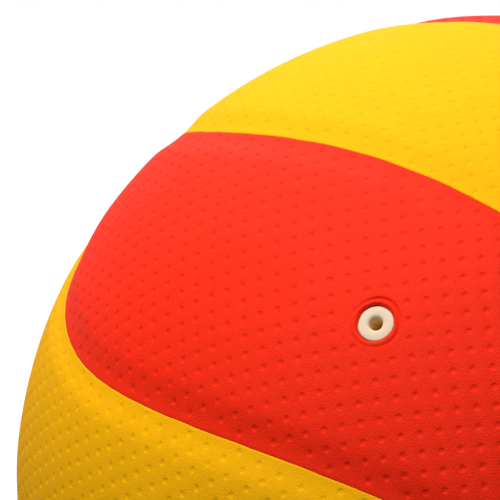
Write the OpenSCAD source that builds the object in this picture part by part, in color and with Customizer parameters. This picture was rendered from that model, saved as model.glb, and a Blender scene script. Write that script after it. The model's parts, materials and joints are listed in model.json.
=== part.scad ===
// Indoor volleyball of ten swirl panels, as separate pieces from the skins in to the bladder.
// The origin is the ball's centre and +Z is up. The seams meet at two poles of their own, and
// the whole ball is turned so that it lies as it does when its valve faces front and left.

/* [Ball] */
// Diameter over the crowns of the padded panels
ball_d = 210; // [200:1:220]

/* [Seams] */
// Number of red panels, with as many yellow ones between them
pair_count = 5; // [4:1:6]
// Share of a red and yellow pair that the red panel covers
red_share = 0.512; // [0.45:0.002:0.55]
// Turn of a seam near the middle of the ball, in degrees
swirl_near = -2.9; // [-6:0.1:6]
// Turn of a seam halfway to a pole, in degrees
swirl_mid = 9.3; // [0:0.1:20]
// Turn of a seam close to a pole, in degrees
swirl_far = 41.7; // [30:0.1:60]
// Latitude where the end of a red panel starts to close, in degrees
hook_lat = 42; // [36:1:46]
// Latitude of the tip of a red panel, in degrees
tip_lat = 60; // [54:1:66]
// Angle by which a red panel is narrower where it starts to close than in its middle
red_taper = 1.4; // [0:0.1:3]

/* [Cover] */
// Height of a panel's crown over its seams
crown_rise = 0.65; // [0.4:0.05:1.6]
// Distance from a seam over which the crown rises
crown_run = 9; // [6:1:22]
// Thickness of the leather skin
skin_t = 1.3; // [1:0.1:1.8]
// Thickness of the foam backing at a seam
foam_t = 1.8; // [1.4:0.1:3]
// Bond between the foam backing and the cloth lining
bond_t = 0.5; // [0.45:0.05:0.8]

/* [Carcass] */
// Thickness of the cloth lining
lining_t = 0.8; // [0.6:0.1:1.4]
// Thickness of the bladder's rubber
bladder_t = 0.9; // [0.6:0.1:1.6]
// Clearance between the lining and the bladder
bladder_gap = 0.3; // [0.2:0.05:0.5]

/* [Valve] */
// Latitude of the valve in the frame of the seams, in degrees
valve_lat = -11.9; // [-16:0.1:-6]
// Diameter of the valve's round face
face_d = 7.5; // [6.5:0.1:9]
// Depth of the valve's face below the skin
face_sink = 0.5; // [0.3:0.1:0.8]
// Clearance around the valve in each hole that it passes
hole_gap = 0.2; // [0.15:0.05:0.4]
// Diameter of the hole for the inflating needle
needle_d = 2.7; // [2:0.1:3]
// Depth of the hole for the inflating needle
needle_depth = 12; // [8:0.5:13]
// Diameter of the plug's shank
shank_d = 5; // [4.6:0.1:5.4]
// Clearance between the plug's shank and the housing's bore
shank_gap = 0.1; // [0.05:0.05:0.2]
// Thickness of the plug's head
head_t = 1.5; // [1:0.1:2]
// Diameter of the housing's flange inside the bladder
flange_d = 26; // [20:1:32]
// Thickness of the housing's flange
flange_t = 1.4; // [1:0.1:2]
// Diameter of the housing's sleeve inside the bladder
sleeve_d = 9; // [8:0.2:12]
// Length of the housing's sleeve below the flange
sleeve_l = 9; // [7:0.5:14]
// Diameter of the cloth patch round the valve
patch_d = 30; // [24:1:36]
// Thickness of the cloth patch
patch_t = 0.5; // [0.3:0.1:0.7]

/* [Pose] */
// Turn of the ball about X, in degrees
pose_x = 72.85; // [0:0.05:360]
// Turn of the ball about Y, in degrees
pose_y = -30.65; // [-180:0.05:180]
// Turn of the ball about Z, in degrees
pose_z = -120.5; // [-180:0.05:180]

/* [Hidden] */
$fn = 96;
// Angles of a red and yellow pair and of its red panel
pair_deg = 360 / pair_count;
red_deg = pair_deg * red_share;
// Radii of the layers, from the crown inward
crown_r = ball_d / 2;
lining_r = crown_r - crown_rise - skin_t - foam_t - bond_t;
bladder_r = lining_r - lining_t - bladder_gap;
hollow_r = bladder_r - bladder_t;
patch_r = lining_r + patch_t;
// Places along the valve's axis, from the ball's centre
face_r = crown_r - face_sink;
neck_r = face_r - head_t;
sleeve_end_r = hollow_r - flange_t - sleeve_l;
nose_l = shank_d / 2;
nose_d = shank_d * 0.7;
mouth_flare = needle_d / 6;
// Beyond every surface that a hole is cut through
cut = crown_rise;

// Steps of the rows between the hooks, along each hook and on to a pole
mid_steps = 14;
hook_steps = 4;
cap_steps = 4;
// Samples of a seam that the crown's distance is measured to, per step
seam_samples = 3;
// Places across a panel of the skin's columns, closer together beside the seams
skin_shares = [0, 0.05, 0.13, 0.37, 0.63, 0.87, 0.95, 1];
// Places across a panel of the columns where the skin meets the foam, and of the foam's inner face
core_shares = [0, 0.2, 0.4, 0.6, 0.8, 1];

// Turn of every seam at a latitude
function swirl(lat) = let (s = sin(lat))
    swirl_near * s + swirl_mid * pow(s, 3) + swirl_far * pow(s, 5);

// Width that a red panel keeps at a latitude: all of it up to the hook, none past the tip
function kept(lat) = lat <= hook_lat ? 1
    : lat >= tip_lat ? 0
    : sqrt(1 - pow((lat - hook_lat) / (tip_lat - hook_lat), 2));

// Angle that the open side of a red panel has come in by at a latitude
function lost(lat) = red_taper * pow(max(0, lat) / hook_lat, 3);

// Longitudes of a red panel's two seams, each of which hooks on to the other at one end
function red_east(lat) =
    red_deg / 2 + swirl(lat) - lost(lat) - (red_deg - lost(-lat)) * (1 - kept(-lat));
function red_west(lat) =
    -red_deg / 2 + swirl(lat) + lost(-lat) + (red_deg - lost(lat)) * (1 - kept(lat));

// Latitudes of the rows, with the given number of steps to each one that a panel has
function hook_rows(fine) = [for (i = [1 : hook_steps * fine])
    hook_lat + (tip_lat - hook_lat) * sin(90 * i / (hook_steps * fine))];
function cap_rows(fine) = [for (i = [1 : cap_steps * fine])
    tip_lat + (90 - tip_lat) * i / (cap_steps * fine)];
function north_rows(fine, whole) = concat(hook_rows(fine), whole ? cap_rows(fine) : []);
function rows(fine, whole) = let (north = north_rows(fine, whole), last = len(north) - 1)
    concat([for (i = [0 : last]) -north[last - i]],
        [for (i = [0 : mid_steps * fine]) hook_lat * (2 * i / (mid_steps * fine) - 1)], north);

// Unit vector at a latitude and longitude
function place(lat, lon) = [cos(lat) * cos(lon), cos(lat) * sin(lon), sin(lat)];

// Both seams of a panel as unit vectors. A yellow panel lies between two red ones.
function west(lat, yellow) = yellow ? red_east(lat) : red_west(lat);
function east(lat, yellow) = yellow ? red_west(lat) + pair_deg : red_east(lat);
function seams(yellow) = let (lats = rows(seam_samples, yellow))
    concat([for (lat = lats) place(lat, west(lat, yellow))],
        [for (lat = lats) place(lat, east(lat, yellow))]);

// Radius of the skin's outer face at a unit vector: it rises from the nearest seam to the crown
function skin_r(p, edge) = let (
        chord = min([for (q = edge) norm(p - q)]),
        near = min(1, 2 * asin(chord / 2) * PI / 180 * crown_r / crown_run))
    crown_r - crown_rise * pow(1 - near, 2);

// One face of a panel as rows of points, each row running across between the seams
function face_points(lats, shares, yellow, edge, depth, flat_r) =
    [for (lat = lats, share = shares) let (
            lon = west(lat, yellow) * (1 - share) + east(lat, yellow) * share,
            p = place(lat, lon))
        p * (flat_r > 0 ? flat_r : skin_r(p, edge) - depth)];

// Triangles of a face whose first point is number start, with its outside up or down
function face_triangles(rows_n, across_n, start, up) =
    [for (i = [0 : rows_n - 2], j = [0 : across_n - 2]) let (
            a = start + i * across_n + j, b = a + 1, c = a + across_n, d = c + 1)
        each (i == 0 ? [up ? [a, c, d] : [a, d, c]]
            : i == rows_n - 2 ? [up ? [a, c, b] : [a, b, c]]
            : up ? [[a, c, b], [b, c, d]] : [[a, b, c], [b, d, c]])];

// Triangles of the wall under one edge, between column top_j outside and column low_j inside
function wall_triangles(rows_n, top_n, low_n, top_j, low_j, low_start, up) =
    [for (i = [0 : rows_n - 2]) let (
            a = i * top_n + top_j, b = a + top_n,
            c = low_start + i * low_n + low_j, d = c + low_n)
        each (up ? [[a, c, d], [a, d, b]] : [[a, d, c], [a, b, d]])];

// Number of the one point that stands for a whole row where a panel ends in a tip
function tip_point(k, top_n, low_n, rows_n) = let (
        low = k >= rows_n * top_n, n = low ? low_n : top_n,
        base = low ? rows_n * top_n : 0, row = floor((k - base) / n))
    row == 0 || row == rows_n - 1 ? base + row * n : k;

// Closed solid between an upper and a lower face of a panel
module panel_solid(yellow, top_shares, top_depth, low_shares, low_depth, low_r) {
    lats = rows(1, yellow);
    edge = seams(yellow);
    rows_n = len(lats);
    top_n = len(top_shares);
    low_n = len(low_shares);
    low_start = rows_n * top_n;
    points = concat(face_points(lats, top_shares, yellow, edge, top_depth, 0),
        face_points(lats, low_shares, yellow, edge, low_depth, low_r));
    faces = concat(face_triangles(rows_n, top_n, 0, true),
        face_triangles(rows_n, low_n, low_start, false),
        wall_triangles(rows_n, top_n, low_n, 0, 0, low_start, true),
        wall_triangles(rows_n, top_n, low_n, top_n - 1, low_n - 1, low_start, false));
    ends = [for (f = faces) [for (k = f) tip_point(k, top_n, low_n, rows_n)]];
    polyhedron(points, [for (f = ends) if (f[0] != f[1] && f[1] != f[2] && f[2] != f[0]) f]);
}

module skin_solid(yellow) panel_solid(yellow, skin_shares, 0, core_shares, skin_t, 0);
module foam_solid(yellow) panel_solid(yellow, core_shares, skin_t, core_shares, 0, lining_r + bond_t);

// Turns the frame of the seams into the frame of the ball
module posed() rotate([pose_x, pose_y, pose_z]) children();

// Turns a piece that stands along Z on to the valve's axis
module on_valve_axis() posed() rotate([0, 90 - valve_lat, 0]) children();

// Hole along the valve's axis through everything outside a radius
module valve_hole(d, from_r) on_valve_axis() translate([0, 0, from_r]) cylinder(d = d, h = crown_r);

module shell(outer_r, inner_r) difference() {
    sphere(r = outer_r);
    sphere(r = inner_r);
}

// Part of a shell within a given diameter of the valve's axis
module round_of_shell(outer_r, inner_r, d) intersection() {
    shell(outer_r, inner_r);
    cylinder(d = d, h = crown_r);
}

module red_skin(i) color([0.86, 0.07, 0.05]) difference() {
    posed() rotate([0, 0, pair_deg * (i - 1)]) skin_solid(false);
    if (i == 1) valve_hole(face_d + 2 * hole_gap, lining_r);
}

module yellow_skin(i) color([0.98, 0.78, 0.08])
    posed() rotate([0, 0, pair_deg * (i - 1)]) skin_solid(true);

module red_foam(i) color([0.93, 0.91, 0.86]) difference() {
    posed() rotate([0, 0, pair_deg * (i - 1)]) foam_solid(false);
    if (i == 1) valve_hole(face_d + 2 * hole_gap, lining_r);
    if (i == 1) on_valve_axis() round_of_shell(patch_r + hole_gap, lining_r - cut, patch_d + 2 * hole_gap);
}

module yellow_foam(i) color([0.93, 0.91, 0.86])
    posed() rotate([0, 0, pair_deg * (i - 1)]) foam_solid(true);

module cloth_lining() color([0.8, 0.82, 0.84]) difference() {
    shell(lining_r, lining_r - lining_t);
    valve_hole(face_d + 2 * hole_gap, hollow_r);
}

module lining_patch() color([0.62, 0.66, 0.7]) on_valve_axis() difference() {
    round_of_shell(patch_r, lining_r, patch_d);
    cylinder(d = face_d + 2 * hole_gap, h = crown_r);
}

module bladder() color([0.16, 0.16, 0.17]) difference() {
    shell(bladder_r, hollow_r);
    valve_hole(face_d + 2 * hole_gap, hollow_r - cut);
}

// Rubber housing: a flange under the bladder, a neck out through the layers and a sleeve inward
module valve_housing() color([0.9, 0.85, 0.74]) on_valve_axis() difference() {
    union() {
        round_of_shell(hollow_r, hollow_r - flange_t, flange_d);
        translate([0, 0, sleeve_end_r]) cylinder(d = sleeve_d, h = sleeve_l + flange_t / 2);
        translate([0, 0, hollow_r - flange_t]) cylinder(d = face_d, h = neck_r - hollow_r + flange_t);
    }
    translate([0, 0, sleeve_end_r - cut]) cylinder(d = shank_d + 2 * shank_gap, h = crown_r);
}

// Soft plug that closes by itself: a head, a shank and a nose, with the hole that a needle enters
module valve_plug() color([0.93, 0.87, 0.76]) on_valve_axis() difference() {
    rotate_extrude() polygon([
        [0, sleeve_end_r - nose_l], [nose_d / 2, sleeve_end_r - nose_l],
        [shank_d / 2, sleeve_end_r], [shank_d / 2, neck_r],
        [face_d / 2, neck_r], [face_d / 2, face_r], [0, face_r]]);
    translate([0, 0, face_r - needle_depth]) cylinder(d = needle_d, h = needle_depth + cut);
    translate([0, 0, face_r - mouth_flare])
        cylinder(d1 = needle_d, d2 = needle_d + 4 * mouth_flare, h = 2 * mouth_flare);
}

for (i = [1 : pair_count]) {
    red_skin(i);
    yellow_skin(i);
    red_foam(i);
    yellow_foam(i);
}
cloth_lining();
lining_patch();
bladder();
valve_housing();
valve_plug();
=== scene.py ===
"""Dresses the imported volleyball: dimpled leather skins, the valve, the layers inside and a studio."""

import json
import math

import bpy
import numpy as np
from bpy.props import FloatProperty, FloatVectorProperty, IntProperty, PointerProperty
from mathutils import Euler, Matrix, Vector
from mathutils.geometry import delaunay_2d_cdt
from mathutils.kdtree import KDTree


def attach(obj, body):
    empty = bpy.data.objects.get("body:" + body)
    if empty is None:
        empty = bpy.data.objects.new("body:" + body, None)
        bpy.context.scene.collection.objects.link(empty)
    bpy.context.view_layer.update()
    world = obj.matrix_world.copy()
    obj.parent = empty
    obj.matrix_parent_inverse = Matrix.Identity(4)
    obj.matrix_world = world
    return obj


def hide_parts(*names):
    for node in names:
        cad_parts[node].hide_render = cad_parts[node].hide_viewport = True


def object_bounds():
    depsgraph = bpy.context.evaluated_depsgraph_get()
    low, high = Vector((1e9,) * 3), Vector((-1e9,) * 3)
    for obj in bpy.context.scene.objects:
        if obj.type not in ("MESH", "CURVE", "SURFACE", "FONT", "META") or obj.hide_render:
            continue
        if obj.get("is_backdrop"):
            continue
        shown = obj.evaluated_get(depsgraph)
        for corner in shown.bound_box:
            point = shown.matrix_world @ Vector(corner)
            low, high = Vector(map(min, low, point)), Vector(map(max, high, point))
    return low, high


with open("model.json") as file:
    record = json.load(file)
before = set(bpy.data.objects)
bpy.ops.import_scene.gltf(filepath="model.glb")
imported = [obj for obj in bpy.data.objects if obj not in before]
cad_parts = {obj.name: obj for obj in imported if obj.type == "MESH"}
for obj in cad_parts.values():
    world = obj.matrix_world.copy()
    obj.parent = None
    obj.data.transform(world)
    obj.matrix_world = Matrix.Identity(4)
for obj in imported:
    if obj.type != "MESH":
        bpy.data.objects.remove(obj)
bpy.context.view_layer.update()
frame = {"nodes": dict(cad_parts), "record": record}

MM = 0.001

bl_info = {
    "name": "Swirl volleyball",
    "version": (1, 0, 0),
    "blender": (4, 5, 0),
    "location": "3D View > Sidebar > Volleyball",
    "description": "Builds a volleyball of ten dimpled leather panels round its packed frame",
    "category": "Add Mesh",
}


class SeamSizes(bpy.types.PropertyGroup):
    """How the seams run between their two poles"""

    pairs: IntProperty(
        name="Pairs", description="Red panels, with as many yellow ones", default=5, min=4, max=6)
    red_share: FloatProperty(
        name="Red share", description="Share of a pair that the red panel covers", default=0.512)
    swirl_near: FloatProperty(
        name="Swirl near", description="Turn of a seam near the middle of the ball",
        default=math.radians(-2.9), subtype="ANGLE")
    swirl_mid: FloatProperty(
        name="Swirl halfway", description="Turn of a seam halfway to a pole",
        default=math.radians(9.3), subtype="ANGLE")
    swirl_far: FloatProperty(
        name="Swirl far", description="Turn of a seam close to a pole",
        default=math.radians(41.7), subtype="ANGLE")
    hook_lat: FloatProperty(
        name="Hook", description="Latitude where the end of a red panel starts to close",
        default=math.radians(42), subtype="ANGLE")
    tip_lat: FloatProperty(
        name="Tip", description="Latitude of the tip of a red panel",
        default=math.radians(60), subtype="ANGLE")
    red_taper: FloatProperty(
        name="Taper", description="Angle by which a red panel narrows until it starts to close",
        default=math.radians(1.4), subtype="ANGLE")
    wobble: FloatProperty(
        name="Wobble", description="How far a hand-laid seam strays from its line",
        default=0.06 * MM, unit="LENGTH")
    pose: FloatVectorProperty(
        name="Pose", description="Turn of the seams' frame into the frame of the ball",
        default=[math.radians(a) for a in (72.85, -30.65, -120.5)], subtype="EULER")


class LeatherSizes(bpy.types.PropertyGroup):
    """The padded leather panels"""

    crown_radius: FloatProperty(
        name="Crown radius", description="Radius of the ball over its crowns",
        default=105 * MM, unit="LENGTH")
    crown_rise: FloatProperty(
        name="Crown rise", description="Height of a crown over the seams",
        default=0.8 * MM, unit="LENGTH")
    crown_run: FloatProperty(
        name="Crown run", description="Distance over which a crown rises",
        default=8 * MM, unit="LENGTH")
    red_margin: FloatProperty(
        name="Red margin", description="Distance from a seam at which a red crown starts to rise",
        default=0.7 * MM, unit="LENGTH")
    back_rise: FloatProperty(
        name="Back rise", description="Height of the middle of a skin's back over its edges",
        default=0.65 * MM, unit="LENGTH")
    back_run: FloatProperty(
        name="Back run", description="Distance from a seam over which a skin's back rises",
        default=9 * MM, unit="LENGTH")
    edge_drop: FloatProperty(
        name="Edge drop", description="How deep the rounded edge of a skin turns down",
        default=0.1 * MM, unit="LENGTH")
    edge_round: FloatProperty(
        name="Edge round", description="Distance over which the edge of a skin turns down",
        default=0.2 * MM, unit="LENGTH")
    thickness: FloatProperty(
        name="Thickness", description="Thickness of a skin", default=1.3 * MM, unit="LENGTH")
    swell: FloatProperty(
        name="Swell", description="Height of the soft unevenness of the padding",
        default=0.12 * MM, unit="LENGTH")
    red: FloatVectorProperty(
        name="Red", description="Colour of the red skins",
        default=(0.9, 0.019, 0.0), subtype="COLOR", size=3)
    yellow: FloatVectorProperty(
        name="Yellow", description="Colour of the yellow skins",
        default=(0.93, 0.44, 0.001), subtype="COLOR", size=3)


class DimpleSizes(bpy.types.PropertyGroup):
    """The small round pits pressed into the skins"""

    pitch: FloatProperty(
        name="Pitch", description="Distance from pit to pit", default=3.87 * MM, unit="LENGTH")
    diameter: FloatProperty(
        name="Diameter", description="Width of a pit", default=1.55 * MM, unit="LENGTH")
    red_depth: FloatProperty(
        name="Red depth", description="Depth of a pit in red leather", default=0.19 * MM,
        unit="LENGTH")
    yellow_depth: FloatProperty(
        name="Yellow depth", description="Depth of a pit in yellow leather", default=0.14 * MM,
        unit="LENGTH")
    floor_share: FloatProperty(
        name="Floor share", description="Share of a pit's width that is flat", default=0.15)
    margin: FloatProperty(
        name="Margin", description="Least distance from a seam to a pit's centre",
        default=1.3 * MM, unit="LENGTH")


class ValveSizes(bpy.types.PropertyGroup):
    """The valve's face and the leather round it"""

    latitude: FloatProperty(
        name="Latitude", description="Latitude of the valve in the frame of the seams",
        default=math.radians(-11.9), subtype="ANGLE")
    face_radius: FloatProperty(
        name="Face radius", description="Radius of the plug's round face",
        default=3.75 * MM, unit="LENGTH")
    face_sink: FloatProperty(
        name="Face sink", description="Depth of the plug's face below the crown",
        default=0.5 * MM, unit="LENGTH")
    needle_radius: FloatProperty(
        name="Needle radius", description="Radius of the needle's hole",
        default=1.35 * MM, unit="LENGTH")
    lip_height: FloatProperty(
        name="Lip height", description="Height of the leather's raised lip round the hole",
        default=0.22 * MM, unit="LENGTH")
    lip_radius: FloatProperty(
        name="Lip radius", description="Radius of the lip's top", default=4.4 * MM, unit="LENGTH")
    lip_width: FloatProperty(
        name="Lip width", description="Distance from the lip's top over which it falls away",
        default=0.5 * MM, unit="LENGTH")
    crease_radius: FloatProperty(
        name="Crease radius", description="Radius of the crease outside the lip",
        default=5.1 * MM, unit="LENGTH")
    crease_depth: FloatProperty(
        name="Crease depth", description="Depth of the crease outside the lip",
        default=0.42 * MM, unit="LENGTH")
    crease_width: FloatProperty(
        name="Crease width", description="Distance from the crease's middle over which it fades",
        default=0.28 * MM, unit="LENGTH")
    cut_drop: FloatProperty(
        name="Cut drop", description="How deep the cut edge of the leather turns down",
        default=0.42 * MM, unit="LENGTH")
    cut_round: FloatProperty(
        name="Cut round", description="Distance over which the cut edge turns down",
        default=0.26 * MM, unit="LENGTH")
    pit_margin: FloatProperty(
        name="Pit margin", description="Least distance from the valve's axis to a pit's centre",
        default=6.4 * MM, unit="LENGTH")
    colour: FloatVectorProperty(
        name="Colour", description="Colour of the plug's soft rubber",
        default=(0.74, 0.58, 0.40), subtype="COLOR", size=3)
    # Painted light: a warm colour down in the needle's hole that stands in for light shining through
    # the soft rubber
    hole_glow_colour: FloatVectorProperty(
        name="Hole colour", description="Colour of the rubber down in the needle's hole",
        default=(0.85, 0.60, 0.22), subtype="COLOR", size=3)


class StageSizes(bpy.types.PropertyGroup):
    """Camera, lamps and floor"""

    camera_place: FloatVectorProperty(
        name="Camera", description="Where the camera stands",
        default=(-0.0533, -0.8288, 0.1259), subtype="TRANSLATION")
    camera_tilt: FloatProperty(
        name="Tilt", description="How far the camera looks down",
        default=math.radians(5), subtype="ANGLE")
    lens: FloatProperty(name="Lens", description="Focal length in millimetres", default=271.9)
    key_power: FloatProperty(
        name="Key", description="Power of the soft lamp above and in front", default=21.5)
    back_power: FloatProperty(
        name="Back", description="Power of the soft lamp above and behind", default=6)
    fill: FloatProperty(name="Fill", description="Light that comes from all round", default=0.1)


GROUPS = {
    "ball_seams": SeamSizes,
    "ball_leather": LeatherSizes,
    "ball_dimples": DimpleSizes,
    "ball_valve": ValveSizes,
    "ball_stage": StageSizes,
}


# Seams, in the frame of their two poles

def swirl(lat, seams):
    """Turn of every seam at a latitude."""
    s = np.sin(lat)
    return seams.swirl_near * s + seams.swirl_mid * s**3 + seams.swirl_far * s**5


def kept(lat, seams):
    """Share of its width that a red panel keeps at a latitude."""
    closing = np.clip((lat - seams.hook_lat) / (seams.tip_lat - seams.hook_lat), 0, 1)
    return np.sqrt(1 - closing**2)


def lost(lat, seams):
    """Angle that the open side of a red panel has come in by at a latitude."""
    return seams.red_taper * (np.clip(lat, 0, None) / seams.hook_lat) ** 3


def red_sides(lat, seams):
    """Longitudes of the west and the east seam of the first red panel."""
    width = 2 * math.pi / seams.pairs * seams.red_share
    north, south = lost(lat, seams), lost(-lat, seams)
    west = swirl(lat, seams) - width / 2 + south + (width - north) * (1 - kept(lat, seams))
    east = swirl(lat, seams) + width / 2 - north - (width - south) * (1 - kept(-lat, seams))
    return west, east


def panel_sides(lat, yellow, seams):
    """Longitudes of both seams of the first red panel, or of the yellow one east of it."""
    west, east = red_sides(lat, seams)
    return (east, west + 2 * math.pi / seams.pairs) if yellow else (west, east)


def on_sphere(lat, lon):
    """Unit vectors at latitudes and longitudes."""
    return np.stack([np.cos(lat) * np.cos(lon), np.cos(lat) * np.sin(lon), np.sin(lat)], -1)


def evenly(line, step):
    """A line of points resampled to equal steps, with both ends kept."""
    run = np.concatenate([[0], np.cumsum(np.linalg.norm(np.diff(line, axis=0), axis=1))])
    places = np.linspace(0, run[-1], max(2, round(run[-1] / step)) + 1)
    return np.stack([np.interp(places, run, line[:, k]) for k in range(line.shape[1])], -1)


def ripple(points, lengths, seed):
    """A smooth random vector at each point, from a few waves of each of the given lengths."""
    waves, full_turn = 3, 6.28
    draw = np.random.default_rng(seed)
    total = np.zeros_like(points)
    for length in lengths:
        for _ in range(waves):
            way = draw.normal(size=3)
            way *= 2 * math.pi / length / np.linalg.norm(way)
            phase = draw.uniform(0, full_turn)
            total += np.sin(points @ way + phase)[:, None] * draw.normal(size=3)
    return total / (waves * len(lengths)) ** 0.5


def panel_outline(number, yellow, radius, seams, step):
    """The closed edge of a panel, as unit vectors that run anticlockwise seen from outside."""
    end_count, middle_count = 60, 200
    hook = np.sin(np.linspace(0, math.pi / 2, end_count)) * (seams.tip_lat - seams.hook_lat)
    north = seams.hook_lat + hook
    if yellow:
        north = np.concatenate([north, np.linspace(seams.tip_lat, math.pi / 2, end_count)[1:]])
    middle = np.linspace(-seams.hook_lat, seams.hook_lat, middle_count)[1:-1]
    lat = np.concatenate([-north[::-1], middle, north])
    turn = number * 2 * math.pi / seams.pairs
    west, east = panel_sides(lat, yellow, seams)
    up = evenly(on_sphere(lat, east + turn), step / radius)
    down = evenly(on_sphere(lat, west + turn), step / radius)[::-1]
    loop = np.concatenate([up[:-1], down[:-1]])
    loop = loop + ripple(loop, lengths=(0.06, 0.1, 0.17), seed=5) * seams.wobble / radius
    return loop / np.linalg.norm(loop, axis=1)[:, None]


class Sheet:
    """The flat sheet that a panel was cut from: east and north of the panel's middle, in metres."""

    def __init__(self, middle_lon, radius):
        self.radius = radius
        self.ahead = np.array([math.cos(middle_lon), math.sin(middle_lon), 0])
        self.east = np.array([-math.sin(middle_lon), math.cos(middle_lon), 0])

    def flatten(self, points):
        """Places on the sheet of unit vectors."""
        north = np.arctan2(points[:, 2], points @ self.ahead)
        east = np.arcsin(np.clip(points @ self.east, -1, 1))
        return np.stack([east, north], -1) * self.radius

    def wrap(self, places):
        """Unit vectors of places on the sheet."""
        east, north = (places / self.radius).T
        middle = np.cos(north)[:, None] * self.ahead + np.sin(north)[:, None] * np.array([0, 0, 1])
        return np.cos(east)[:, None] * middle + np.sin(east)[:, None] * self.east


def inside(places, loop):
    """Which places lie inside a closed loop, by counting the sides to the east of each."""
    a, b = loop, np.roll(loop, -1, axis=0)
    x, y = places[:, 0][:, None], places[:, 1][:, None]
    spans = (a[:, 1] > y) != (b[:, 1] > y)
    rise = b[:, 1] - a[:, 1]
    slope = (b[:, 0] - a[:, 0]) / np.where(rise == 0, 1, rise)
    return (spans & (x < a[:, 0] + (y - a[:, 1]) * slope)).sum(1) % 2 == 1


class Rim:
    """A closed loop on a sheet that knows how far places lie from it."""

    def __init__(self, loop):
        parts_of_side = 4
        shares = np.arange(parts_of_side)[:, None] / parts_of_side
        side = np.roll(loop, -1, axis=0) - loop
        self.loop = loop
        self.fine = (loop[:, None] + side[:, None] * shares).reshape(-1, 2)
        self.tree = KDTree(len(self.fine))
        for name, (x, y) in enumerate(self.fine):
            self.tree.insert((x, y, 0), name)
        self.tree.balance()

    def distance(self, places):
        """Distance from each place to the loop."""
        find = self.tree.find
        nearest = np.array([find((x, y, 0))[1] for x, y in places.tolist()], int)
        gaps = []
        for first in (nearest - 1, nearest):
            start = self.fine[first % len(self.fine)]
            side = self.fine[(first + 1) % len(self.fine)] - start
            away = places - start
            along = np.clip((away * side).sum(1) / (side**2).sum(1), 0, 1)
            gaps.append(np.linalg.norm(away - along[:, None] * side, axis=1))
        return np.minimum(*gaps)

    def inset(self, gap):
        """The loop moved inward, without the places where it would fold over itself."""
        least_share = 0.96
        ahead = np.roll(self.loop, -1, axis=0) - np.roll(self.loop, 1, axis=0)
        normal = np.stack([-ahead[:, 1], ahead[:, 0]], -1)
        moved = self.loop + normal / np.linalg.norm(ahead, axis=1)[:, None] * gap
        return moved[self.distance(moved) > gap * least_share]


def circle(centre, radius, count, start=0.0):
    """Places on a circle."""
    turn = start + np.arange(count) * 2 * math.pi / count
    return centre + np.stack([np.cos(turn), np.sin(turn)], -1) * np.reshape(radius, (-1, 1))


# How each panel's sheet was cut: the turn of its rows of pits and where they start, in pitches.
# The three panels in view follow the photograph, and the rest take their turn and start by rule.
SHEETS_IN_VIEW = {
    ("red", 1): (35, -0.37, -0.35),
    ("yellow", 1): (49, -0.47, -0.24),
    ("yellow", 5): (37, 0.38, -0.15),
}


def sheet_of(colour, number):
    """Turn of a panel's rows of pits, and their start along both rows, in pitches."""
    rule = (40.0 + 7 * math.sin(2.4 * number), 0.37 * number % 1, 0.61 * number % 1)
    turn, first, second = SHEETS_IN_VIEW.get((colour, number), rule)
    return math.radians(turn), first, second


def lattice(turn, start, pitch, reach):
    """Crossings of a square lattice within a reach of the origin."""
    count = math.ceil(reach / pitch) + 1
    steps = np.arange(-count, count + 1)
    i, j = np.meshgrid(steps, steps)
    across = np.array([math.cos(turn), math.sin(turn)])
    along = np.array([-math.sin(turn), math.cos(turn)])
    i, j = (i.ravel() + start[0])[:, None], (j.ravel() + start[1])[:, None]
    return (i * across + j * along) * pitch


# The mesh's rings of places in and round a pit: share of the pit's radius, and count of places
PIT_RINGS = ((0.0, 1), (0.35, 6), (0.65, 10), (0.85, 12), (0.95, 12), (1.0, 12), (1.1, 12))

# The mesh's step along a seam, and its loops of places inside the seam
SEAM_STEP = 1.1 * MM
SEAM_LOOPS = (0.15 * MM, 0.35 * MM, 0.7 * MM, 1.3 * MM, 2.2 * MM)

# Its rings of places outside the valve's hole, in millimetres, the later of which are round
HOLE_COUNT = 72
HOLE_RINGS = (0.12, 0.3, 0.55, 0.85, 1.15, 1.35, 1.5, 1.65, 1.8, 2.0, 2.4, 3.0)
ROUND_FROM = 1.5

# How far its places between the pits keep from a seam, the valve's axis and, in radii, a pit
LOOSE_FROM_SEAM = 3.2 * MM
LOOSE_FROM_VALVE = 7.2 * MM
LOOSE_FROM_PIT = 1.35

# The step of its places on a skin's back, and how far they keep from a seam
BACK_STEP = 7 * MM
BACK_FROM_SEAM = 3 * MM

# How the leather's hole strays from a circle: waves round it, share of its radius, and turn
HOLE_WAVES = ((2, 0.022, 0.6), (3, 0.016, -1.0), (7, 0.008, 0.0))


def pit_places(centres, radius):
    """The mesh's places in and round every pit, ring by ring, and which of them are sunk."""
    rings = [np.concatenate([circle(c, radius * share, count, start=share) for c in centres])
             for share, count in PIT_RINGS]
    sunk = [np.full(len(ring), share < 1) for ring, (share, _) in zip(rings, PIT_RINGS)]
    return np.concatenate(rings), np.concatenate(sunk)


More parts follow.
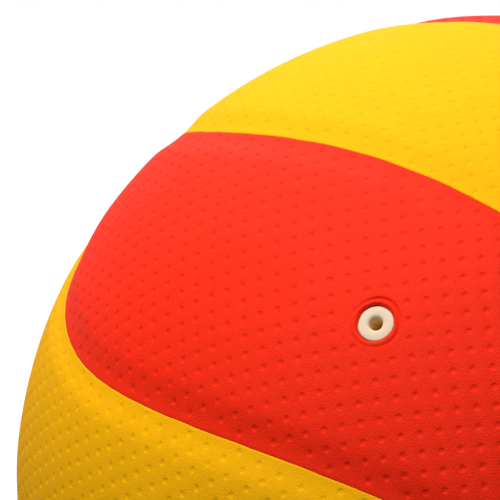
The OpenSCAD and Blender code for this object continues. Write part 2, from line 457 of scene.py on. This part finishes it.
class SkinShape:
    """Works out how high a red or yellow skin stands at any place on its sheet."""

    def __init__(self, colour, number):
        scene = bpy.context.scene
        self.seams, self.leather = scene.ball_seams, scene.ball_leather
        self.dimples, self.valve = scene.ball_dimples, scene.ball_valve
        self.yellow = colour == "yellow"
        self.has_valve = colour == "red" and number == 1
        pair = 2 * math.pi / self.seams.pairs
        self.sheet = Sheet((number - 1) * pair + (pair / 2 if self.yellow else 0),
                           self.leather.crown_radius)
        self.turn = sheet_of(colour, number)
        outline = panel_outline(number - 1, self.yellow, self.leather.crown_radius, self.seams,
                                SEAM_STEP)
        self.outline = self.sheet.flatten(outline)
        self.rim = Rim(self.outline)
        self.pose = np.array(Euler(self.seams.pose).to_matrix())
        self.hole_centre = self.sheet.flatten(
            on_sphere(np.array([self.valve.latitude]), np.array([0.0])))[0]

    def hole_radius(self, angle):
        """Radius of the leather's hole, cut by hand and not quite round."""
        uneven = 1.0
        for waves, share, turn in HOLE_WAVES:
            uneven = uneven + share * np.cos(waves * angle + turn)
        return self.valve.face_radius * uneven

    def near_valve(self, places):
        """Distance and angle of places from the valve's axis. The angle starts straight up."""
        small = 0.01
        step_up = self.pose.T @ np.array([0, 0, small])
        above = self.sheet.flatten(self.sheet.wrap(self.hole_centre[None]) + step_up)[0]
        zero = math.atan2(*(above - self.hole_centre)[::-1])
        away = places - self.hole_centre
        return np.linalg.norm(away, axis=1), np.arctan2(away[:, 1], away[:, 0]) - zero

    def valve_rise(self, places):
        """Height of the lip round the valve, less its crease and the hole's cut edge."""
        valve = self.valve
        far, angle = self.near_valve(places)
        lip = np.exp(-((far - valve.lip_radius) / valve.lip_width) ** 2)
        # The crease is uneven, and deep on one side only
        stray, deep_side, least = 0.03, -0.55, 0.12
        crease_at = valve.crease_radius * (1 + stray * np.cos(3 * angle + 1))
        share = np.clip(0.5 + 0.62 * np.cos(angle - deep_side), 0, 1) ** 1.5
        crease = np.exp(-((far - crease_at) / valve.crease_width) ** 2)
        crease *= least + (1 - least) * share
        edge = np.exp(-np.clip(far - self.hole_radius(angle), 0, None) / valve.cut_round)
        return lip * valve.lip_height - crease * valve.crease_depth - edge * valve.cut_drop

    def radius(self, places, gap):
        """Distance from the ball's centre to the skin's outer face."""
        leather = self.leather
        margin = 0 if self.yellow else leather.red_margin
        run = np.clip((gap - margin) / leather.crown_run, 0, 1)
        # Level at both ends, so that neither the seam nor the crown shows a ridge
        risen = run**3 * (10 - 15 * run + 6 * run**2)
        points = self.sheet.wrap(places)
        height = leather.crown_radius - leather.crown_rise * (1 - risen)
        height -= leather.edge_drop * np.exp(-gap / leather.edge_round)
        height += leather.swell * ripple(points, lengths=(0.22, 0.35), seed=11)[:, 0] * risen
        if self.has_valve:
            height += self.valve_rise(places)
        return height

    def place(self, places, radii):
        """Points in the frame of the ball."""
        return (self.sheet.wrap(places) * np.reshape(radii, (-1, 1))) @ self.pose.T

    def crossings(self, turn, start, pitch, from_seam, from_valve):
        """Crossings of a square lattice that lie in the skin, clear of its seams and its valve."""
        # Half as far again takes in the corners of the skin's box
        reach = np.abs(self.outline).max() * 1.5
        places = lattice(turn, start, pitch, reach)
        places = places[inside(places, self.outline)]
        places = places[self.rim.distance(places) > from_seam]
        if self.has_valve:
            places = places[self.near_valve(places)[0] > from_valve]
        return places


def skin_places(shape):
    """The places of a skin's outer face on its sheet, its edge loops, and which places are sunk."""
    dimples = shape.dimples
    turn, first, second = shape.turn
    centres = shape.crossings(
        turn, (first, second), dimples.pitch, dimples.margin, shape.valve.pit_margin)
    loose = [
        shape.crossings(turn, (first + right, second + up), dimples.pitch,
                        LOOSE_FROM_SEAM, LOOSE_FROM_VALVE)
        for right, up in ((0.5, 0.5), (0.5, 0), (0, 0.5))]
    edges = [shape.rim.inset(gap) for gap in SEAM_LOOPS]
    loops = [shape.outline]
    if shape.has_valve:
        hole, rings = hole_places(shape)
        loops.append(hole)
        edges += rings
    radius = dimples.diameter / 2
    pits, sunk = pit_places(centres, radius)
    others = np.concatenate(edges + loose)
    others = others[clear_of_pits(others, centres, radius * LOOSE_FROM_PIT)]
    places = np.concatenate(loops + [others, pits])
    mask = np.concatenate([np.zeros(len(places) - len(pits), bool), sunk])
    return places, loops, mask


def hole_places(shape):
    """The valve's hole, and rings outside it that grow from the hole's uneven edge to a circle."""
    centre = shape.hole_centre
    angles = np.arange(HOLE_COUNT) * 2 * math.pi / HOLE_COUNT
    east = shape.near_valve(centre[None] + [[MM, 0]])[1][0]
    hole = circle(centre, shape.hole_radius(angles + east), HOLE_COUNT)
    rings = []
    for growth in HOLE_RINGS:
        evened = min(1, growth / ROUND_FROM)
        uneven = (np.linalg.norm(hole - centre, axis=1) + growth * MM) * (1 - evened)
        even = evened * (shape.valve.face_radius + growth * MM)
        rings.append(circle(centre, uneven + even, HOLE_COUNT))
    return hole, rings


def clear_of_pits(places, centres, radius):
    """Which places lie outside every pit, worked out in batches to save memory."""
    batch = 1000
    clear = np.ones(len(places), bool)
    for start in range(0, len(places), batch):
        away = places[start:start + batch, None] - centres
        clear[start:start + batch] = ((away**2).sum(2) > radius**2).all(1)
    return clear


def triangulate(places, loops):
    """Triangles between the places, inside the first loop and outside a hole's loop."""
    starts = np.cumsum([0] + [len(loop) for loop in loops])
    rings = [list(range(a, b)) for a, b in zip(starts, starts[1:])]
    edges = [(ring[k - 1], ring[k]) for ring in rings for k in range(len(ring))]
    points = [Vector(p) for p in (places / MM).tolist()]
    # The tolerance is in millimetres
    only_inside, tolerance = 1, 1e-6
    _, _, faces, origin, _, _ = delaunay_2d_cdt(points, edges, [], only_inside, tolerance)
    if any(len(known) == 0 for known in origin):
        raise RuntimeError("two edges of a skin cross")
    names = np.array([known[0] for known in origin])
    faces = names[np.array(faces)]
    in_hole = ((faces >= starts[1]) & (faces < starts[-1])).all(1)
    return faces[~in_hole]


def coarse_places(shape, loops):
    """Places of a skin's inner face: its edge loops and a wide lattice between them."""
    wide = shape.crossings(0, (0, 0), BACK_STEP, BACK_FROM_SEAM, shape.valve.crease_radius)
    return np.concatenate(loops + [wide])


def skin_mesh(shape, name):
    """A closed skin: its outer face with the pits' places, its turned-down edges and its back."""
    leather = shape.leather
    places, loops, sunk = skin_places(shape)
    gap = shape.rim.distance(places)
    top = shape.place(places, shape.radius(places, gap))
    back_places = coarse_places(shape, loops)
    back_gap = shape.rim.distance(back_places)
    low = 1 - np.clip(back_gap / leather.back_run, 0, 1)
    back_radius = leather.crown_radius - leather.back_rise * low**2 - leather.thickness
    back = shape.place(back_places, back_radius)
    faces = [triangulate(places, loops), triangulate(back_places, loops)[:, ::-1] + len(places)]
    start = 0
    for loop in loops:
        names = np.arange(start, start + len(loop))
        after = np.roll(names, -1)
        faces.append(np.stack([names, names + len(places), after], -1))
        faces.append(np.stack([after, names + len(places), after + len(places)], -1))
        start += len(loop)
    mesh = bpy.data.meshes.new(name)
    mesh.from_pydata(np.concatenate([top, back]), [], np.concatenate(faces).tolist())
    store(mesh, "sheet", "FLOAT_VECTOR", np.concatenate([
        np.column_stack([places, gap]), np.column_stack([back_places, back_gap])]))
    store(mesh, "pitted", "FLOAT", np.concatenate([sunk, np.zeros(len(back))]))
    mesh.shade_smooth()
    mesh.validate()
    return mesh


def store(mesh, name, kind, values):
    """Keeps a value on every vertex."""
    layer = mesh.attributes.new(name, kind, "POINT")
    field = "vector" if kind == "FLOAT_VECTOR" else "value"
    layer.data.foreach_set(field, np.asarray(values, float).ravel())


# Nodes, and the tree that presses the pits into a skin

def feed(node, inputs):
    """Fills a node's inputs, each with a value or from another node's output."""
    for name, value in inputs.items():
        if isinstance(value, bpy.types.NodeSocket):
            node.id_data.links.new(value, node.inputs[name])
        else:
            node.inputs[name].default_value = value


def add_node(tree, kind, inputs, **properties):
    """Adds a node with its properties and inputs, and gives its outputs."""
    node = tree.nodes.new(kind)
    for name, value in properties.items():
        setattr(node, name, value)
    feed(node, inputs)
    return node.outputs


def maths(tree, operation, *values):
    """The result of a sum on numbers."""
    inputs = dict(enumerate(values))
    return add_node(tree, "ShaderNodeMath", inputs, operation=operation)["Value"]


def vector_maths(tree, operation, *values):
    """The result of a sum on vectors."""
    outputs = add_node(tree, "ShaderNodeVectorMath", dict(enumerate(values)), operation=operation)
    return outputs["Value" if operation == "LENGTH" else "Vector"]


def map_range(tree, value, **ends):
    """A number carried over from one range to another, whose ends are 0 and 1 unless given."""
    inputs = {name.replace("_", " ").title(): end for name, end in ends.items()}
    return add_node(tree, "ShaderNodeMapRange", {"Value": value, **inputs})["Result"]


def pit_press():
    """The Geometry Nodes tree that presses a square lattice of round pits into a skin."""
    tree = bpy.data.node_groups.get("Press pits")
    if tree:
        return tree
    tree = bpy.data.node_groups.new("Press pits", "GeometryNodeTree")
    sockets = {"Geometry": "Geometry", "Pitch": "Float", "Diameter": "Float", "Depth": "Float",
               "Floor Share": "Float", "Turn": "Float", "Start": "Vector", "Material": "Material"}
    for name, kind in sockets.items():
        tree.interface.new_socket(name, in_out="INPUT", socket_type="NodeSocket" + kind)
    tree.interface.new_socket("Geometry", in_out="OUTPUT", socket_type="NodeSocketGeometry")
    given = tree.nodes.new("NodeGroupInput").outputs
    sheet = add_node(
        tree, "GeometryNodeInputNamedAttribute", {"Name": "sheet"}, data_type="FLOAT_VECTOR")
    pitted = add_node(
        tree, "GeometryNodeInputNamedAttribute", {"Name": "pitted"}, data_type="FLOAT")

    # Distance from the centre of the nearest pit
    flat = vector_maths(tree, "MULTIPLY", sheet["Attribute"], (1, 1, 0))
    turned = add_node(
        tree, "ShaderNodeVectorRotate",
        {"Vector": flat, "Angle": maths(tree, "MULTIPLY", given["Turn"], -1)},
        rotation_type="Z_AXIS")
    steps = vector_maths(tree, "DIVIDE", turned["Vector"], given["Pitch"])
    started = vector_maths(tree, "SUBTRACT", steps, given["Start"])
    halfway = vector_maths(tree, "ADD", started, (0.5, 0.5, 0))
    cell = vector_maths(tree, "FRACTION", halfway)
    away = vector_maths(tree, "LENGTH", vector_maths(tree, "SUBTRACT", cell, (0.5, 0.5, 0)))
    far = maths(tree, "MULTIPLY", away, given["Pitch"])

    # A bowl with a flat floor
    rim = maths(tree, "MULTIPLY", given["Diameter"], 0.5)
    floor = maths(tree, "MULTIPLY", rim, given["Floor Share"])
    out = map_range(tree, far, from_min=floor, from_max=rim)
    bowl = maths(tree, "SUBTRACT", 1, maths(tree, "POWER", out, 2))
    depth = maths(tree, "MULTIPLY", maths(tree, "MULTIPLY", bowl, given["Depth"]),
                  pitted["Attribute"])
    inward = add_node(
        tree, "ShaderNodeVectorMath",
        {0: tree.nodes.new("GeometryNodeInputNormal").outputs["Normal"],
         "Scale": maths(tree, "MULTIPLY", depth, -1)},
        operation="SCALE")
    pressed = add_node(
        tree, "GeometryNodeSetPosition",
        {"Geometry": given["Geometry"], "Offset": inward["Vector"]})
    real = add_node(tree, "GeometryNodeRealizeInstances", {"Geometry": pressed["Geometry"]})
    dressed = add_node(
        tree, "GeometryNodeSetMaterial",
        {"Geometry": real["Geometry"], "Material": given["Material"]})
    add_node(tree, "NodeGroupOutput", {"Geometry": dressed["Geometry"]})
    return tree


def baked(obj, name):
    """The object's evaluated mesh as a plain object, with the modifiers gone."""
    depsgraph = bpy.context.evaluated_depsgraph_get()
    mesh = bpy.data.meshes.new_from_object(obj.evaluated_get(depsgraph), depsgraph=depsgraph)
    bpy.data.objects.remove(obj)
    mesh.name = name
    made = bpy.data.objects.new(name, mesh)
    bpy.context.scene.collection.objects.link(made)
    return made


def add_skin(colour, number, material):
    """One skin with its pits pressed in, in place of its node."""
    name = f"{colour}_skin_{number}"
    shape = SkinShape(colour, number)
    raw = bpy.data.objects.new("raw", skin_mesh(shape, name))
    bpy.context.scene.collection.objects.link(raw)
    tree = pit_press()
    press = raw.modifiers.new("Press pits", "NODES")
    press.node_group = tree
    turn, first, second = shape.turn
    values = {
        "Pitch": shape.dimples.pitch, "Diameter": shape.dimples.diameter,
        "Depth": getattr(shape.dimples, colour + "_depth"),
        "Floor Share": shape.dimples.floor_share, "Turn": turn, "Start": (first, second, 0),
        "Material": material}
    for item in tree.interface.items_tree:
        if item.in_out == "INPUT" and item.name in values:
            press[item.identifier] = values[item.name]
    made = baked(raw, name)
    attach(made, "root")
    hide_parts(f"skin_{colour}_{number}")


# Materials

def grain_group():
    """Fine grain, as a height and as a mask of lighter and darker specks and clouds."""
    group = bpy.data.node_groups.get("Leather grain")
    if group:
        return group
    group = bpy.data.node_groups.new("Leather grain", "ShaderNodeTree")
    for name, size in (("Grain Size", 0.28 * MM), ("Cloud Size", 9 * MM)):
        socket = group.interface.new_socket(name, in_out="INPUT", socket_type="NodeSocketFloat")
        socket.default_value = size
    for name in ("Height", "Tone"):
        group.interface.new_socket(name, in_out="OUTPUT", socket_type="NodeSocketFloat")
    given = group.nodes.new("NodeGroupInput").outputs
    place = group.nodes.new("ShaderNodeTexCoord").outputs["Object"]
    fine, cloud = (
        add_node(group, "ShaderNodeTexNoise", {
            "Vector": place, "Scale": maths(group, "DIVIDE", 1, given[size]), "Detail": detail})
        for size, detail in (("Grain Size", 3), ("Cloud Size", 2)))
    tone = add_node(
        group, "ShaderNodeMix", {"Factor": 0.6, "A": fine["Fac"], "B": cloud["Fac"]},
        data_type="FLOAT")
    add_node(group, "NodeGroupOutput", {"Height": fine["Fac"], "Tone": tone["Result"]})
    return group


def grained_material(name, colour, shades, roughness, grain, bump):
    """One colour that its grain breaks up. Shades pair a tone with a share of the colour."""
    material = bpy.data.materials.new(name)
    material.use_nodes = True
    tree = material.node_tree
    specks = add_node(tree, "ShaderNodeGroup", grain, node_tree=grain_group())
    ramp = tree.nodes.new("ShaderNodeValToRGB")
    for stop, (tone, share) in zip(ramp.color_ramp.elements, shades):
        stop.position = tone
        stop.color = (*[min(1, c * share) for c in colour], 1)
    feed(ramp, {"Fac": specks["Tone"]})
    spread = 0.06
    rough = map_range(
        tree, specks["Tone"], to_min=roughness - spread, to_max=roughness + spread)
    dents = add_node(tree, "ShaderNodeBump", {"Height": specks["Height"], **bump})
    feed(tree.nodes["Principled BSDF"], {
        "Base Color": ramp.outputs["Color"], "Roughness": rough, "Normal": dents["Normal"]})
    return material


def blend_colour(material, mask, at_zero, at_one):
    """Sets a material's colour to a blend of two by a mask. None stands for its present colour."""
    shader = material.node_tree.nodes["Principled BSDF"]
    present = shader.inputs["Base Color"].links[0].from_socket
    first, second = (present if colour is None else (*colour, 1) for colour in (at_zero, at_one))
    blend = add_node(
        material.node_tree, "ShaderNodeMix", {"Factor": mask, "A": first, "B": second},
        data_type="RGBA")
    feed(shader, {"Base Color": blend["Result"]})


def leather_material(name, colour, gloss, roughness, height):
    """Soft dimpled leather in one colour, with painted shade that makes it a little darker down in the
    seams.
    """
    material = grained_material(
        name, colour, ((0.3, 0.96), (0.7, 1.03)), roughness, {},
        {"Strength": 1, "Distance": height})
    tree = material.node_tree
    sheet = add_node(tree, "ShaderNodeAttribute", {}, attribute_name="sheet")["Vector"]
    gap = add_node(tree, "ShaderNodeSeparateXYZ", {"Vector": sheet})["Z"]
    # Painted shade: within 0.2 mm of a seam, where the edge turns down, the colour falls to 0.8 of
    # itself
    seam_shade_share, seam_shade_width = 0.8, 0.2 * MM
    out_of_seam_shade = map_range(tree, gap, from_min=0, from_max=seam_shade_width)
    blend_colour(material, out_of_seam_shade, [c * seam_shade_share for c in colour], None)
    feed(tree.nodes["Principled BSDF"], {"Specular IOR Level": gloss})
    return material


def plain_material(name, colour, roughness, grain_size, height):
    """Foam, cloth or rubber in one colour, with its own grain."""
    return grained_material(
        name, colour, ((0.25, 0.86), (0.75, 1.08)), roughness, {"Grain Size": grain_size},
        {"Strength": 0.5, "Distance": height})


def paint_hole_glow(material, colour):
    """Blends a material's colour, by the piece's own depths, into a painted glow down in the needle's
    hole: a warmer colour that stands in for light shining through the soft rubber.
    """
    depth = add_node(material.node_tree, "ShaderNodeAttribute", {}, attribute_name="hole")["Fac"]
    blend_colour(material, depth, None, colour)


# The valve

def lathe(name, profile, count):
    """A closed turned piece about Z from (radius, height) pairs that run from axis to axis."""
    angles = np.arange(count) * 2 * math.pi / count
    points, rings, faces = [], [], []
    for radius, height in profile:
        if radius == 0:
            rings.append([len(points)] * count)
            points.append((0, 0, height))
        else:
            rings.append(list(range(len(points), len(points) + count)))
            points += [(radius * math.cos(a), radius * math.sin(a), height) for a in angles]
    for low, high in zip(rings, rings[1:]):
        for k in range(count):
            face = (low[k - 1], low[k], high[k], high[k - 1])
            # On the axis two corners are one, and are named once
            faces.append(tuple(dict.fromkeys(face)))
    mesh = bpy.data.meshes.new(name)
    mesh.from_pydata(points, [], faces)
    mesh.shade_smooth()
    return mesh


def plug_profile(valve, leather):
    """Half the plug's outline, from the nose inside the ball round to the floor of its hole."""
    face = leather.crown_radius - valve.face_sink
    nose = face - 18.65 * MM
    rim, hole = valve.face_radius, valve.needle_radius
    shank, head = 2.5 * MM, face - 1.5 * MM
    return [
        (0, nose), (1.75 * MM, nose), (shank, nose + 2.5 * MM), (shank, head),
        (rim - 0.1 * MM, head), (rim, head + 0.1 * MM), (rim, face - 0.3 * MM),
        (rim - 0.1 * MM, face - 0.08 * MM), (rim - 0.35 * MM, face),
        (hole + 0.75 * MM, face + 0.02 * MM), (hole + 0.4 * MM, face - 0.03 * MM),
        (hole + 0.15 * MM, face - 0.18 * MM), (hole, face - 0.45 * MM),
        (hole * 0.98, face - 3 * MM), (hole * 0.9, face - 6 * MM), (hole * 0.6, face - 11 * MM),
        (0, face - 12 * MM)]


# Operators, one for each group of like pieces and one for the stage

def add_skins(colour, material):
    """All the skins of one colour."""
    for number in range(1, bpy.context.scene.ball_seams.pairs + 1):
        add_skin(colour, number, material)


class BallAddRedSkins(bpy.types.Operator):
    """Adds the red leather skins, the first of which has the valve's hole"""

    bl_idname = "ball.add_red_skins"
    bl_label = "Red skins"

    def execute(self, context):
        add_skins("red", leather_material(
            "red leather", context.scene.ball_leather.red,
            gloss=0.14, roughness=0.66, height=0.17 * MM))
        return {"FINISHED"}


class BallAddYellowSkins(bpy.types.Operator):
    """Adds the yellow leather skins"""

    bl_idname = "ball.add_yellow_skins"
    bl_label = "Yellow skins"

    def execute(self, context):
        add_skins("yellow", leather_material(
            "yellow leather", context.scene.ball_leather.yellow,
            gloss=0.05, roughness=0.7, height=0.13 * MM))
        return {"FINISHED"}


class BallAddValvePlug(bpy.types.Operator):
    """Adds the soft plug whose round face shows in the first red skin"""

    bl_idname = "ball.add_valve_plug"
    bl_label = "Valve plug"

    def execute(self, context):
        valve, leather = context.scene.ball_valve, context.scene.ball_leather
        mesh = lathe("valve_face_plug", plug_profile(valve, leather), count=64)
        # The painted glow of the hole reaches from the face to 2 mm down into it
        face, glow_depth = leather.crown_radius - valve.face_sink, 2 * MM
        depths = [min(1, max(0, (face - point.co.z) / glow_depth)) for point in mesh.vertices]
        store(mesh, "hole", "FLOAT", depths)
        port = next(m for m in frame["record"]["mounts"] if m["name"] == "needle_port")
        mesh.transform(Vector(port["axis"]).to_track_quat("Z", "Y").to_matrix().to_4x4())
        material = plain_material(
            "valve rubber", valve.colour, roughness=0.6, grain_size=0.5 * MM, height=0.03 * MM)
        paint_hole_glow(material, valve.hole_glow_colour)
        mesh.materials.append(material)
        plug = bpy.data.objects.new("valve_face_plug", mesh)
        context.scene.collection.objects.link(plug)
        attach(plug, "root")
        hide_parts("valve_plug")
        return {"FINISHED"}


# The layers inside, by slot: material, colour, roughness, size of the grain and its height
LAYERS = {
    "foam": ("foam backing", (0.86, 0.82, 0.74), 0.85, 0.6 * MM, 0.2 * MM),
    "cloth": ("lining cloth", (0.62, 0.64, 0.67), 0.9, 0.35 * MM, 0.15 * MM),
    "bladder_rubber": ("bladder rubber", (0.035, 0.035, 0.04), 0.55, 1.5 * MM, 0.05 * MM),
    "valve_rubber": ("housing rubber", (0.70, 0.60, 0.44), 0.6, 0.8 * MM, 0.04 * MM),
}


class BallFinishLayers(bpy.types.Operator):
    """Gives the layers inside the skins their own materials"""

    bl_idname = "ball.finish_layers"
    bl_label = "Inner layers"

    def execute(self, context):
        finishes = {slot: plain_material(*finish) for slot, finish in LAYERS.items()}
        slots = {part["node"]: part["material_slot"] for part in frame["record"]["subparts"]}
        for name, node in frame["nodes"].items():
            finish = finishes.get(slots[name])
            if finish is None or node.hide_render:
                continue
            if not node.data.materials:
                node.data.materials.append(finish)
            for index in range(len(node.data.materials)):
                node.data.materials[index] = finish
        return {"FINISHED"}


class BallAddStage(bpy.types.Operator):
    """Adds the camera, the lamps, the pale floor and the white surroundings"""

    bl_idname = "ball.add_stage"
    bl_label = "Stage"

    def execute(self, context):
        stage = context.scene.ball_stage
        camera = bpy.data.cameras.new("camera")
        camera.lens = stage.lens
        camera.clip_end = 50
        holder = bpy.data.objects.new("camera", camera)
        holder.location = stage.camera_place
        holder.rotation_euler = (math.pi / 2 - stage.camera_tilt, 0, 0)
        context.scene.collection.objects.link(holder)
        context.scene.camera = holder
        add_lamp("key lamp", (-0.35, -0.45, 1.15), size=0.9, power=stage.key_power)
        add_lamp("back lamp", (-0.15, 0.7, 1.0), size=0.8, power=stage.back_power)
        add_floor(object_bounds()[0].z)
        light_surroundings(stage.fill)
        context.scene.view_settings.view_transform = "Standard"
        return {"FINISHED"}


def add_lamp(name, place, size, power):
    """A square soft lamp aimed at the ball's centre."""
    lamp = bpy.data.lights.new(name, "AREA")
    lamp.size = size
    lamp.energy = power
    holder = bpy.data.objects.new(name, lamp)
    holder.location = place
    holder.rotation_euler = (-Vector(place)).to_track_quat("-Z", "Y").to_euler()
    bpy.context.scene.collection.objects.link(holder)


def add_floor(height):
    """A wide pale floor that looks white to the camera and keeps the ball's shadow."""
    reach = 4.0
    mesh = bpy.data.meshes.new("floor")
    corners = [(-reach, -reach, height), (reach, -reach, height),
               (reach, reach, height), (-reach, reach, height)]
    mesh.from_pydata(corners, [], [(0, 1, 2, 3)])
    material = bpy.data.materials.new("floor")
    material.use_nodes = True
    tree = material.node_tree
    rays = tree.nodes.new("ShaderNodeLightPath").outputs
    seen = maths(tree, "MAXIMUM", rays["Is Camera Ray"], rays["Is Glossy Ray"])
    place = tree.nodes.new("ShaderNodeTexCoord").outputs["Object"]
    white = map_range(tree, vector_maths(tree, "LENGTH", place),
                      from_min=0.2, from_max=1.2, to_min=0.8, to_max=1)
    feed(tree.nodes["Principled BSDF"], {
        "Base Color": (0.2, 0.2, 0.2, 1), "Roughness": 0.9, "Specular IOR Level": 0,
        "Emission Color": (1, 1, 1, 1), "Emission Strength": maths(tree, "MULTIPLY", seen, white)})
    mesh.materials.append(material)
    floor = bpy.data.objects.new("floor", mesh)
    bpy.context.scene.collection.objects.link(floor)
    floor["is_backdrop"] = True


def light_surroundings(fill):
    """Surroundings that look white and light the ball softly from all round."""
    world = bpy.data.worlds.new("surroundings")
    bpy.context.scene.world = world
    world.use_nodes = True
    tree = world.node_tree
    rays = tree.nodes.new("ShaderNodeLightPath").outputs
    seen = maths(tree, "MAXIMUM", rays["Is Camera Ray"], rays["Is Glossy Ray"])
    seen = maths(tree, "MAXIMUM", seen, rays["Is Transmission Ray"])
    feed(tree.nodes["Background"], {
        "Color": (1, 1, 1, 1), "Strength": map_range(tree, seen, to_min=fill, to_max=1)})


class BallPanel(bpy.types.Panel):
    """Lists the ball's pieces, sizes and colours in the sidebar"""

    bl_idname = "VIEW3D_PT_swirl_volleyball"
    bl_label = "Volleyball"
    bl_space_type = "VIEW_3D"
    bl_region_type = "UI"
    bl_category = "Volleyball"

    def draw(self, context):
        for operator in OPERATORS:
            self.layout.operator(operator.bl_idname)
        for group_name in GROUPS:
            group = getattr(context.scene, group_name)
            box = self.layout.box()
            for name in group.bl_rna.properties.keys():
                if name not in ("rna_type", "name"):
                    box.prop(group, name)


OPERATORS = (BallAddRedSkins, BallAddYellowSkins, BallAddValvePlug, BallFinishLayers, BallAddStage)


def register():
    for group_name, group in GROUPS.items():
        bpy.utils.register_class(group)
        setattr(bpy.types.Scene, group_name, PointerProperty(type=group))
    for kind in (*OPERATORS, BallPanel):
        bpy.utils.register_class(kind)


def unregister():
    for kind in (BallPanel, *reversed(OPERATORS)):
        bpy.utils.unregister_class(kind)
    for group_name, group in reversed(GROUPS.items()):
        delattr(bpy.types.Scene, group_name)
        bpy.utils.unregister_class(group)


def main():
    """Builds every piece in turn."""
    register()
    bpy.ops.ball.add_red_skins()
    bpy.ops.ball.add_yellow_skins()
    bpy.ops.ball.add_valve_plug()
    bpy.ops.ball.finish_layers()
    bpy.ops.ball.add_stage()


if __name__ == "__main__":
    main()
